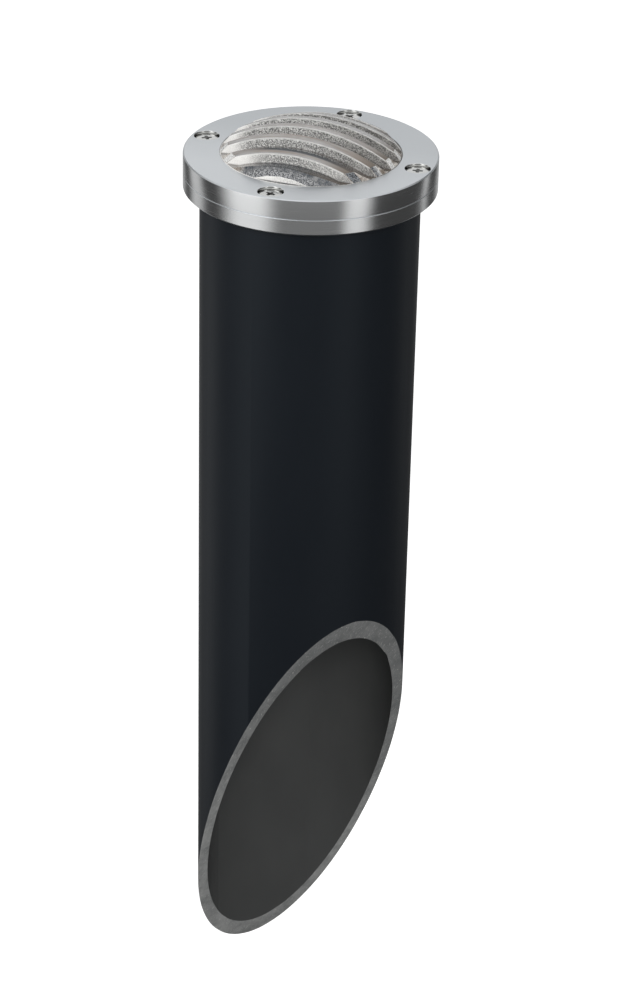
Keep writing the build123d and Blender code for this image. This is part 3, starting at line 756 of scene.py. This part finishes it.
def make_flange_ring():
    foot_break = 0.6
    flange = Solid()
    profile = [
        (RING_RADIUS - JOINT_BREAK, JOINT_HEIGHT),
        (RING_RADIUS, JOINT_HEIGHT - JOINT_BREAK),
        (RING_RADIUS, foot_break),
        (RING_RADIUS - foot_break, 0),
        (REGISTER_RADIUS, 0),
        (REGISTER_RADIUS, REGISTER_DEPTH),
        (BARREL_CLEARANCE_RADIUS, REGISTER_DEPTH),
        (BARREL_CLEARANCE_RADIUS, JOINT_HEIGHT - LIP_SEAT_DEPTH),
        (LIP_SEAT_RADIUS, JOINT_HEIGHT - LIP_SEAT_DEPTH),
        (LIP_SEAT_RADIUS, JOINT_HEIGHT),
    ]
    marks = (SATIN, TURNED) + (SATIN,) * (len(profile) - 3)
    rings = flange.lathe(profile, turn(RING_SIDES), marks)
    tops = [rings[0], rings[-1]]
    for place in screw_places():
        upper = hole_ring(flange, place, TAPPED_HOLE_RADIUS, JOINT_HEIGHT)
        lower = hole_ring(flange, place, TAPPED_HOLE_RADIUS, TAPPED_HOLE_BOTTOM)
        flange.strip(lower, upper, SATIN)
        flange.filled([lower], SATIN, up=True)
        tops.append(upper)
    flange.filled(tops, SATIN, up=True)
    flange.piece("turned_flange_ring", "head", RING_STEELS, stands_for=("flange_ring",))


# ---- stepped lens ----
EDGE_RADIUS = NECK_RADIUS - EDGE_BEVEL_WIDTH
CROWN_RISE = CROWN_HEIGHT - EDGE_BEVEL_HEIGHT
CROWN_RADIUS = (EDGE_RADIUS**2 + CROWN_RISE**2) / (2 * CROWN_RISE)
CROWN_CENTRE = RING_TOP + CROWN_HEIGHT - CROWN_RADIUS
STEP_COUNT = 1 + int((EDGE_RADIUS - FRONT_RISER + GROOVE_WIDTH) / STEP_PITCH)
RISERS = [FRONT_RISER + step * STEP_PITCH for step in range(STEP_COUNT)]
CREASE = 0.16  # spacing of the rows where a land falls into its groove


def dome(x, y):
    return CROWN_CENTRE + sqrt(max(0.0, CROWN_RADIUS**2 - x * x - y * y))


def stepped(x, y, part):
    """Height of the stepped dome; part says which side of a riser the row lies on."""
    surface = dome(x, y)
    for riser in RISERS:
        start = riser - GROOVE_WIDTH
        if start < y < riser or (part == "foot" and y == riser):
            fall = dome(0, start) - dome(0, riser) + RISER_HEIGHT
            surface = min(surface, dome(x, start) - fall * (y - start) / GROOVE_WIDTH)
    return surface


def edge_bevel(x, y):
    return RING_TOP + EDGE_BEVEL_HEIGHT * (NECK_RADIUS - hypot(x, y)) / EDGE_BEVEL_WIDTH


def bevel_start(y, part):
    """Where the steps run into the edge bevel, along X."""
    halvings = 40
    low, high = 0.0, sqrt(max(0.0, NECK_RADIUS**2 - y * y))
    for _ in range(halvings):
        middle = (low + high) / 2
        if stepped(middle, y, part) < edge_bevel(middle, y):
            low = middle
        else:
            high = middle
    return low


def lens_rows():
    """The rows from front to back, as (y, part); a riser has two, its foot and its top."""
    count = 60
    clearance = 0.3  # between an ordinary row and a riser
    just_past = 0.001
    foot = 0.35  # spacing of the rows in front of a riser
    end = NECK_RADIUS - 0.05
    lands = [NECK_RADIUS * sin(pi * i / count - pi / 2) for i in range(1, count)]
    lands = [y for y in lands if all(abs(y - riser) > clearance for riser in RISERS)]
    lands += [riser - GROOVE_WIDTH + d for riser in RISERS for d in (-CREASE, just_past, CREASE)]
    lands += [riser - d for riser in RISERS for d in (2 * foot, foot)]
    rows = [(y, "land") for y in lands if abs(y) < end]
    rows += [(riser, part) for riser in RISERS if riser < end for part in ("foot", "top")]
    return sorted(rows, key=lambda row: (row[0], row[1] != "foot"))


def make_lens():
    columns = 72
    edge_columns = 2  # on the bevel, at each end of a row
    clear, frosted, bevelled = 0, 1, 2
    lens = Solid()

    lines = []
    for y, part in lens_rows():
        place = y + (RISER_DRAFT if part == "top" else 0.0)
        half = bevel_start(place, part)
        end = sqrt(max(0.0, NECK_RADIUS**2 - place**2))
        across = [half * (2 * i / columns - 1) for i in range(columns + 1)]
        across = [-end, (-end - half) / 2] + across + [(half + end) / 2, end]
        heights = [max(RING_TOP, min(stepped(x, place, part), edge_bevel(x, place))) for x in across]
        lines.append((lens.ring([(x, place, height) for x, height in zip(across, heights)]), part, y))

    front_land_end = RISERS[1] - GROOVE_WIDTH
    for (near, near_part, near_y), (far, far_part, far_y) in zip(lines, lines[1:]):
        riser = near_part == "foot" and far_part == "top"
        outer = near_y < front_land_end - CREASE or far_y > EDGE_RADIUS
        last_column = len(near) - 2
        for i in range(len(near) - 1):
            edge = min(i, last_column - i) < edge_columns
            mark = frosted if riser else bevelled if edge or outer else clear
            lens.face((near[i], near[i + 1], far[i + 1], far[i]), mark)
    front = lens.point((0, -NECK_RADIUS, RING_TOP))
    back = lens.point((0, NECK_RADIUS, RING_TOP))
    rows = [line for line, _, _ in lines]
    for i in range(len(rows[0]) - 1):
        lens.face((rows[0][i + 1], rows[0][i], front), bevelled)
        lens.face((rows[-1][i], rows[-1][i + 1], back), bevelled)

    # round the rim, down its side, and over the hollow underneath
    rim = [front] + [row[-1] for row in rows] + [back] + [row[0] for row in reversed(rows)]
    angles = [atan2(lens.points[i][1], lens.points[i][0]) for i in rim]
    skirt_radius = OPENING_RADIUS - 0.05
    skirt_top = RING_TOP - 0.15
    rim_break = 0.2
    profile = [
        (skirt_radius, skirt_top),
        (skirt_radius, LENS_RIM_TOP),
        (LENS_RIM_RADIUS - rim_break, LENS_RIM_TOP),
        (LENS_RIM_RADIUS, LENS_RIM_TOP - rim_break),
        (LENS_RIM_RADIUS, LENS_BOTTOM + rim_break),
        (LENS_RIM_RADIUS - rim_break, LENS_BOTTOM),
    ]
    hollow_rings = 10
    mouth = NECK_RADIUS - HOLLOW_WALL
    hollow_radius = (mouth**2 + HOLLOW_HEIGHT**2) / (2 * HOLLOW_HEIGHT)
    hollow_centre = LENS_BOTTOM + HOLLOW_HEIGHT - hollow_radius
    for i in range(hollow_rings):
        r = mouth * (1 - i / hollow_rings)
        profile.append((r, hollow_centre + sqrt(hollow_radius**2 - r * r)))
    rings = lens.rings(profile, angles)
    lens.strip(rim, rings[0], frosted)
    lens.strips(rings, clear)
    hub = lens.point((0, 0, hollow_centre + hollow_radius))
    lens.fan(rings[-1], hub, clear, turned=True)
    glasses = ("lens_clear", "lens_frosted", "lens_bevelled")
    lens.piece("stepped_lens", "cover", glasses, sharp=18.0, stands_for=("lens",))


# ---- cover screws ----
SHANK_RADIUS = 2.0
THREAD_DEPTH = 0.30
THREAD_PITCH = 0.7
SCREW_TURNS = (12, 58, 33, 71)  # degrees; each cross stands as its screw was left


def loose_object(name, solid):
    return linked(name, new_mesh(name, solid.points, solid.faces, unit=1))


def cut_with(target, cutter):
    """The mesh of target with cutter taken out of it; cutter goes."""
    tool = target.modifiers.new("cut", "BOOLEAN")
    tool.operation = "DIFFERENCE"
    tool.solver = "EXACT"
    tool.object = cutter
    graph = bpy.context.evaluated_depsgraph_get()
    mesh = bpy.data.meshes.new_from_object(target.evaluated_get(graph))
    target.modifiers.clear()
    target.data = mesh
    bpy.data.objects.remove(cutter)
    return mesh


def screw_head():
    """The head with its cross cut in: points, faces, and for each face 1 if it is in the cross."""
    sides = 64
    wing_half_length, wing_half_width = 1.9, 0.5
    web = wing_half_width * 1.5  # from the middle to the corner between two wings, along X and Y
    cross_depth = 1.8
    cross_floor = 0.45  # how much of the cross is left at its bottom
    skim = 0.02  # what lies deeper than this is in the cross
    root_radius = SHANK_RADIUS - THREAD_DEPTH

    head = Solid()
    crown = [
        (2.3, SCREW_HEAD_TOP),
        (3.3, SCREW_HEAD_TOP - 0.03),
        (3.7, SCREW_HEAD_TOP - 0.10),
        (3.93, SCREW_HEAD_TOP - 0.25),
        (SCREW_HEAD_RADIUS, SCREW_HEAD_TOP - 0.5),
        (SCREW_HEAD_RADIUS, SCREW_SEAT + 0.15),
        (SCREW_HEAD_RADIUS - 0.15, SCREW_SEAT),
        (root_radius, SCREW_SEAT),
        (root_radius, SCREW_SEAT - 0.2),
    ]
    rings = head.rings(crown, turn(sides))
    head.strips(rings)
    head.filled([rings[0]], up=True)
    head.filled([rings[-1]], up=False)

    wing = [(wing_half_length, -wing_half_width), (wing_half_length, wing_half_width), (web, web)]
    outline = [(u * cos(a) - v * sin(a), u * sin(a) + v * cos(a)) for a in turn(4) for u, v in wing]
    cross = Solid()
    over, floor = SCREW_HEAD_TOP + 0.3, SCREW_HEAD_TOP - cross_depth
    upper = cross.ring([(x, y, over) for x, y in outline])
    lower = cross.ring([(x * cross_floor, y * cross_floor, floor) for x, y in outline])
    cross.strip(upper, lower)
    cross.filled([upper], up=True)
    cross.filled([lower], up=False)

    blank = loose_object("screw_head", head)
    mesh = cut_with(blank, loose_object("screw_cross", cross))
    bpy.data.objects.remove(blank)
    reach = wing_half_length + wing_half_width
    middles = [face.center for face in mesh.polygons]
    marks = [
        int(hypot(middle.x, middle.y) < reach and SCREW_SEAT < middle.z < SCREW_HEAD_TOP - skim)
        for middle in middles
    ]
    return [tuple(v.co) for v in mesh.vertices], [tuple(face.vertices) for face in mesh.polygons], marks


def screw_thread():
    """The thread from the head's seat to the tip, where it fades into the core."""
    around = 24
    fade_length, fade_least = 0.8, 0.25
    crest_gap = 0.01
    root_radius = SHANK_RADIUS - THREAD_DEPTH
    steps = int((SCREW_SEAT - SCREW_TIP) / THREAD_PITCH * around)
    thread = Solid()
    rows = []
    for i in range(steps + around + 1):
        a = tau * i / around
        z = SCREW_SEAT - THREAD_PITCH * (i - around / 2) / around
        crest, root = (min(SCREW_SEAT, max(SCREW_TIP, h)) for h in (z, z - THREAD_PITCH / 2))
        fade = min(1.0, max(fade_least, (crest - SCREW_TIP) / fade_length))
        crest_radius = SHANK_RADIUS - THREAD_DEPTH * (1 - fade) - crest_gap
        rows.append(thread.ring([polar(crest_radius, -a, crest), polar(root_radius, -a, root)]))
    for i in range(len(rows) - 1):
        thread.face((rows[i][0], rows[i + 1][0], rows[i + 1][1], rows[i][1]))
        if i + around + 1 < len(rows):
            below, after = rows[i + around], rows[i + around + 1]
            thread.face((rows[i][1], rows[i + 1][1], after[0], below[0]))
    thread.fan([root for _, root in rows[-around:]], thread.point((0, 0, SCREW_TIP)))
    return thread


def make_cover_screws():
    head_points, head_faces, head_marks = screw_head()
    thread = screw_thread()
    screws = Solid()
    for (x, y, _), degrees in zip(screw_places(), SCREW_TURNS):
        spin = radians(degrees)
        for points, faces in ((head_points, head_faces), (thread.points, thread.faces)):
            first = len(screws.points)
            screws.points += [
                (x + px * cos(spin) - py * sin(spin), y + px * sin(spin) + py * cos(spin), pz)
                for px, py, pz in points
            ]
            screws.faces += [tuple(first + i for i in face) for face in faces]
        screws.marks += head_marks + thread.marks
    # the faces in the cross take the darker steel, a painted shade
    steels = ("bright_steel", "painted_shade_recess_steel")
    screws.piece("pan_head_screws", "cover", steels, stands_for=("cover_screws",))


# ---- lamp: faceted mirror bowl, and the filament in its burner ----
def make_mirror_bowl():
    top, low = top_of("lamp_reflector"), bottom_of("lamp_reflector")
    rim_radius = reach_of("lamp_reflector")
    rim_height, shell, rim_break = 2.8, 1.2, 0.2
    throat_radius = 9.0
    waist_radius, waist_depth = rim_radius - 6.5, 14.0
    neck_radius = rim_radius - 2.1
    glass_radius, glass_depth = rim_radius - 1.2, 1.8
    facet_rows, facet_columns = 9, 36
    facet_bulge = 0.16
    back_rows = 12
    sides = 4 * facet_columns
    neck = top - rim_height

    def flank(height):
        """Radius of the bowl's back, through its throat, waist and neck."""
        waist = top - waist_depth
        lower = (waist_radius - throat_radius) / (waist - low)
        upper = (neck_radius - waist_radius) / (neck - waist)
        bend = (upper - lower) / (neck - low)
        return throat_radius + lower * (height - low) + bend * (height - low) * (height - waist)

    mirror, back = 0, 1
    bowl = Solid()
    profile = [(glass_radius, top - glass_depth), (glass_radius, top)]
    profile += [(rim_radius - rim_break, top), (rim_radius, top - rim_break)]
    profile += [(rim_radius, neck + rim_break), (rim_radius - rim_break, neck)]
    for i in range(back_rows + 1):
        height = neck + (low - neck) * i / back_rows
        profile.append((flank(height), height))
    rings = bowl.rings(profile, turn(sides))
    bowl.strips(rings, back)
    bowl.filled([rings[-1]], back, up=False)

    # the corners of the facets: radius, height and first angle of each row
    rows = []
    for i in range(facet_rows + 1):
        height = top - glass_depth + (low + shell - top + glass_depth) * i / facet_rows
        start = tau / facet_columns / 2 * (i % 2)
        rows.append((flank(min(height, neck)) - shell, height, start))
    corners = [
        bowl.ring([polar(radius, a, height) for a in turn(facet_columns, start)])
        for radius, height, start in rows
    ]
    for i in range(facet_rows):
        upper, lower = corners[i], corners[i + 1]
        radius = (rows[i][0] + rows[i + 1][0]) / 2 - facet_bulge
        height = (rows[i][1] + rows[i + 1][1]) / 2
        for j in range(facet_columns):
            k = (j + 1) % facet_columns
            nearest, after = (k, (k + 1) % facet_columns) if i % 2 else (j, k)
            middle = rows[i][2] + tau * (j + 0.5) / facet_columns
            hub = bowl.point(polar(radius, middle + tau / facet_columns / 4, height))
            bowl.fan((upper[j], upper[k], lower[after], lower[nearest]), hub, mirror)
    bowl.filled([corners[-1]], mirror, up=True)
    seat = bowl.rings([(glass_radius, top - glass_depth)], turn(facet_columns))[0]
    bowl.strip(corners[0], seat, back)
    glazes = ("lamp_mirror", "coated_lamp_back")
    bowl.piece("faceted_mirror_bowl", "lamp", glazes, 7.0, ("lamp_reflector",))


def wire_along(solid, path, radius, sides=8):
    """A round wire along a path of points in millimetres, closed at its ends."""
    skew = Vector((0.36, 0.48, 0.8))  # no wire runs this way, so its cross product is never zero
    rings = []
    for place, point in enumerate(path):
        before, after = path[max(0, place - 1)], path[min(len(path) - 1, place + 1)]
        along = (Vector(after) - Vector(before)).normalized()
        side = along.cross(skew).normalized()
        lift = along.cross(side)
        ring = [Vector(point) + (side * cos(a) + lift * sin(a)) * radius for a in turn(sides)]
        rings.append(solid.ring([tuple(p) for p in ring]))
    solid.strips(rings)
    for ring, turned in ((rings[0], False), (rings[-1], True)):
        middle = sum((Vector(solid.points[i]) for i in ring), Vector()) / sides
        solid.fan(ring, solid.point(tuple(middle)), turned=turned)


def make_filament():
    low = bottom_of("lamp_burner")
    coil_bottom, coil_top = low + 7.0, low + 11.5
    coil_radius, coil_turns, steps = 0.8, 9, 14
    wire_radius, lead_radius, lead_spread = 0.13, 0.22, 2.2
    lead_bottom = low + 0.2
    lead_slope, lead_drop = 1.5, 0.8  # of the leads' slants to the coil's bottom and from its top
    filament = Solid()
    coil = []
    for i in range(steps * coil_turns + 1):
        height = coil_bottom + (coil_top - coil_bottom) * i / (steps * coil_turns)
        coil.append(polar(coil_radius, tau * i / steps, height))
    wire_along(filament, coil, wire_radius)
    right = [
        (coil_radius, 0, coil_bottom),
        (lead_spread, 0, coil_bottom - lead_slope),
        (lead_spread, 0, lead_bottom),
    ]
    left = [
        coil[-1],
        (-lead_spread, 0, coil_top - lead_drop),
        (-lead_spread, 0, coil_bottom),
        (-lead_spread, 0, lead_bottom),
    ]
    for lead in (right, left):
        wire_along(filament, lead, lead_radius)
    filament.piece("burner_filament", "lamp", ("lamp_wire",))


# ---- studio, in metres ----
FLOOR_HEIGHT = PIPE_TIP * MM
FLOOR_HALF_WIDTH = 6.0
FLOOR_GLOW = 0.56  # what the background rays see over the floor's own light
SKY_LIGHT = 0.52  # what lights the object; the background rays see full white
CAMERA_PLACE = Vector((0.3290, -0.9031, 0.3944))
CAMERA_HEADING = radians(19.7)
CAMERA_PITCH = radians(28.16)
CAMERA_ROLL = radians(1.31)
CAMERA_LENS = 110.2
SENSOR = 36.0
LIT_POINT = Vector((0, 0, -0.12))
LAMP_DISTANCE = 1.6

# what the steel reflects: heading from the camera's, half width and softness in degrees, and
# strength at table level and above it
SOFT_BOXES = (
    (0, 20, 12, 0.20, 0.22),
    (-56, 9, 26, 1.10, 1.70),
    (42, 4, 15, 1.00, 1.30),
    (123, 1, 7, 0.72, 0.30),
    (-121, 5, 11, 0.72, 0.70),
    (180, 16, 22, 0.50, 0.70),
)
SURROUND_RADIUS = 2.2
ROOM_LOW, ROOM_HIGH = 0.07, 0.18
OVERHEAD = 0.85
# heights as shares of the radius: where the boxes end, where table level passes into above, and
# where the light overhead begins
TABLE_EDGE = (-0.72, -0.52)
HORIZON = (-0.12, 0.15)
OVERHEAD_EDGE = (0.55, 0.8)


def make_camera():
    data = bpy.data.cameras.new("camera")
    data.lens = CAMERA_LENS
    data.sensor_width = SENSOR
    data.clip_start = 0.01
    data.clip_end = 50
    camera = linked("camera", data)
    heading = Matrix.Rotation(CAMERA_HEADING, 4, "Z")
    pitch = Matrix.Rotation(pi / 2 - CAMERA_PITCH, 4, "X")
    roll = Matrix.Rotation(CAMERA_ROLL, 4, "Z")
    camera.matrix_world = Matrix.Translation(CAMERA_PLACE) @ (heading @ pitch) @ roll
    bpy.context.scene.camera = camera


def background_rays(finish):
    """1 for the rays that see the background: from the camera, in gloss and through glass."""
    kinds = ("Is Camera Ray", "Is Glossy Ray", "Is Transmission Ray")
    camera, glossy, through = (finish.add("LightPath", out=kind) for kind in kinds)
    return camera.most(glossy).most(through)


def make_floor():
    size = FLOOR_HALF_WIDTH
    corners = [(-size, -size), (size, -size), (size, size), (-size, size)]
    mesh = new_mesh("floor", [(x, y, FLOOR_HEIGHT) for x, y in corners], [(0, 1, 2, 3)], unit=1)
    finish = Finish("floor_white")
    sheet = finish.add("BsdfDiffuse", sockets={"Color": shade(0.86, 0.86, 0.86)})
    glow = finish.add("Emission", sockets={"Strength": background_rays(finish) * FLOOR_GLOW})
    mesh.materials.append(finish.done(finish.add("AddShader", sockets={0: sheet, 1: glow})))
    floor = linked("floor", mesh)
    floor.visible_glossy = False


def make_surround():
    """A globe of soft boxes and dark flags round the object, seen only in reflections and glass."""
    across, up = 96, 48
    globe = Solid()
    radius = SURROUND_RADIUS / MM
    bands = [pi * (i + 0.5) / up for i in range(up)]
    rings = globe.rings([(radius * sin(band), radius * cos(band)) for band in bands], turn(across))
    globe.strips(rings)
    globe.filled([rings[0]], up=True)
    globe.filled([rings[-1]], up=False)
    mesh = new_mesh("surround", globe.points, globe.faces)

    finish = Finish("surround_boxes")
    point = finish.add("TexCoord", out="Object")
    turned = finish.add("Mapping", sockets={"Vector": point, "Rotation": (0, 0, -CAMERA_HEADING)})
    right, away, height = finish.axes("XYZ", turned)
    heading = right.maths("ARCTAN2", away * -1) * (180 / pi)
    height = height / SURROUND_RADIUS
    above = height.ramp(*HORIZON)
    lit = height.ramp(*TABLE_EDGE)
    light = above * (ROOM_HIGH - ROOM_LOW) + ROOM_LOW
    for centre, half, soft, low, high in SOFT_BOXES:
        off = (heading - centre).maths("ABSOLUTE")
        box = 1 - off.least(360 - off).ramp(half, half + soft)
        light = light + box * lit * (above * (high - low) + low)
    light = light.most(height.ramp(*OVERHEAD_EDGE) * OVERHEAD)
    glow = finish.add("Emission", sockets={"Color": shade(0.985, 0.995, 1.0), "Strength": light})
    mesh.materials.append(finish.done(glow))
    surround = linked("surround", mesh)
    surround.visible_camera = False
    surround.visible_diffuse = False
    surround.visible_volume_scatter = False
    surround.visible_shadow = False


def make_world():
    world = bpy.data.worlds.new("studio")
    finish = Finish("studio", world)
    strength = SKY_LIGHT + background_rays(finish) * (1 - SKY_LIGHT)
    finish.done(finish.add("Background", sockets={"Color": shade(1, 1, 1), "Strength": strength}))
    bpy.context.scene.world = world


def make_lamp_light(name, heading, elevation, size, power):
    """A round light; heading from the camera's and elevation in degrees."""
    data = bpy.data.lights.new(name, "AREA")
    data.shape = "DISK"
    data.size = size
    data.energy = power
    lamp = linked(name, data)
    angle = CAMERA_HEADING + radians(heading)
    level = cos(radians(elevation))
    away = Vector((sin(angle) * level, -cos(angle) * level, sin(radians(elevation))))
    lamp.location = LIT_POINT + away * LAMP_DISTANCE
    lamp.rotation_euler = away.to_track_quat("Z", "Y").to_euler()
    lamp.visible_glossy = False


def dress_frame():
    """Each CAD node that shows takes its slot's finish."""
    slots = {part["node"]: part["material_slot"] for part in frame["record"]["subparts"]}
    for name, node in frame["nodes"].items():
        finish = FINISHES[SLOT_FINISH.get(slots[name], slots[name])]
        node.data.materials.clear()
        node.data.materials.append(finish)


dress_frame()
make_pipe()
make_trim_ring()
make_flange_ring()
make_lens()
make_cover_screws()
make_mirror_bowl()
make_filament()
make_camera()
make_floor()
make_surround()
make_world()
make_lamp_light("key_light", 4, 31, 0.45, 17)
make_lamp_light("fill_light", -60, 25, 0.9, 7)
bpy.context.scene.view_settings.view_transform = "Standard"
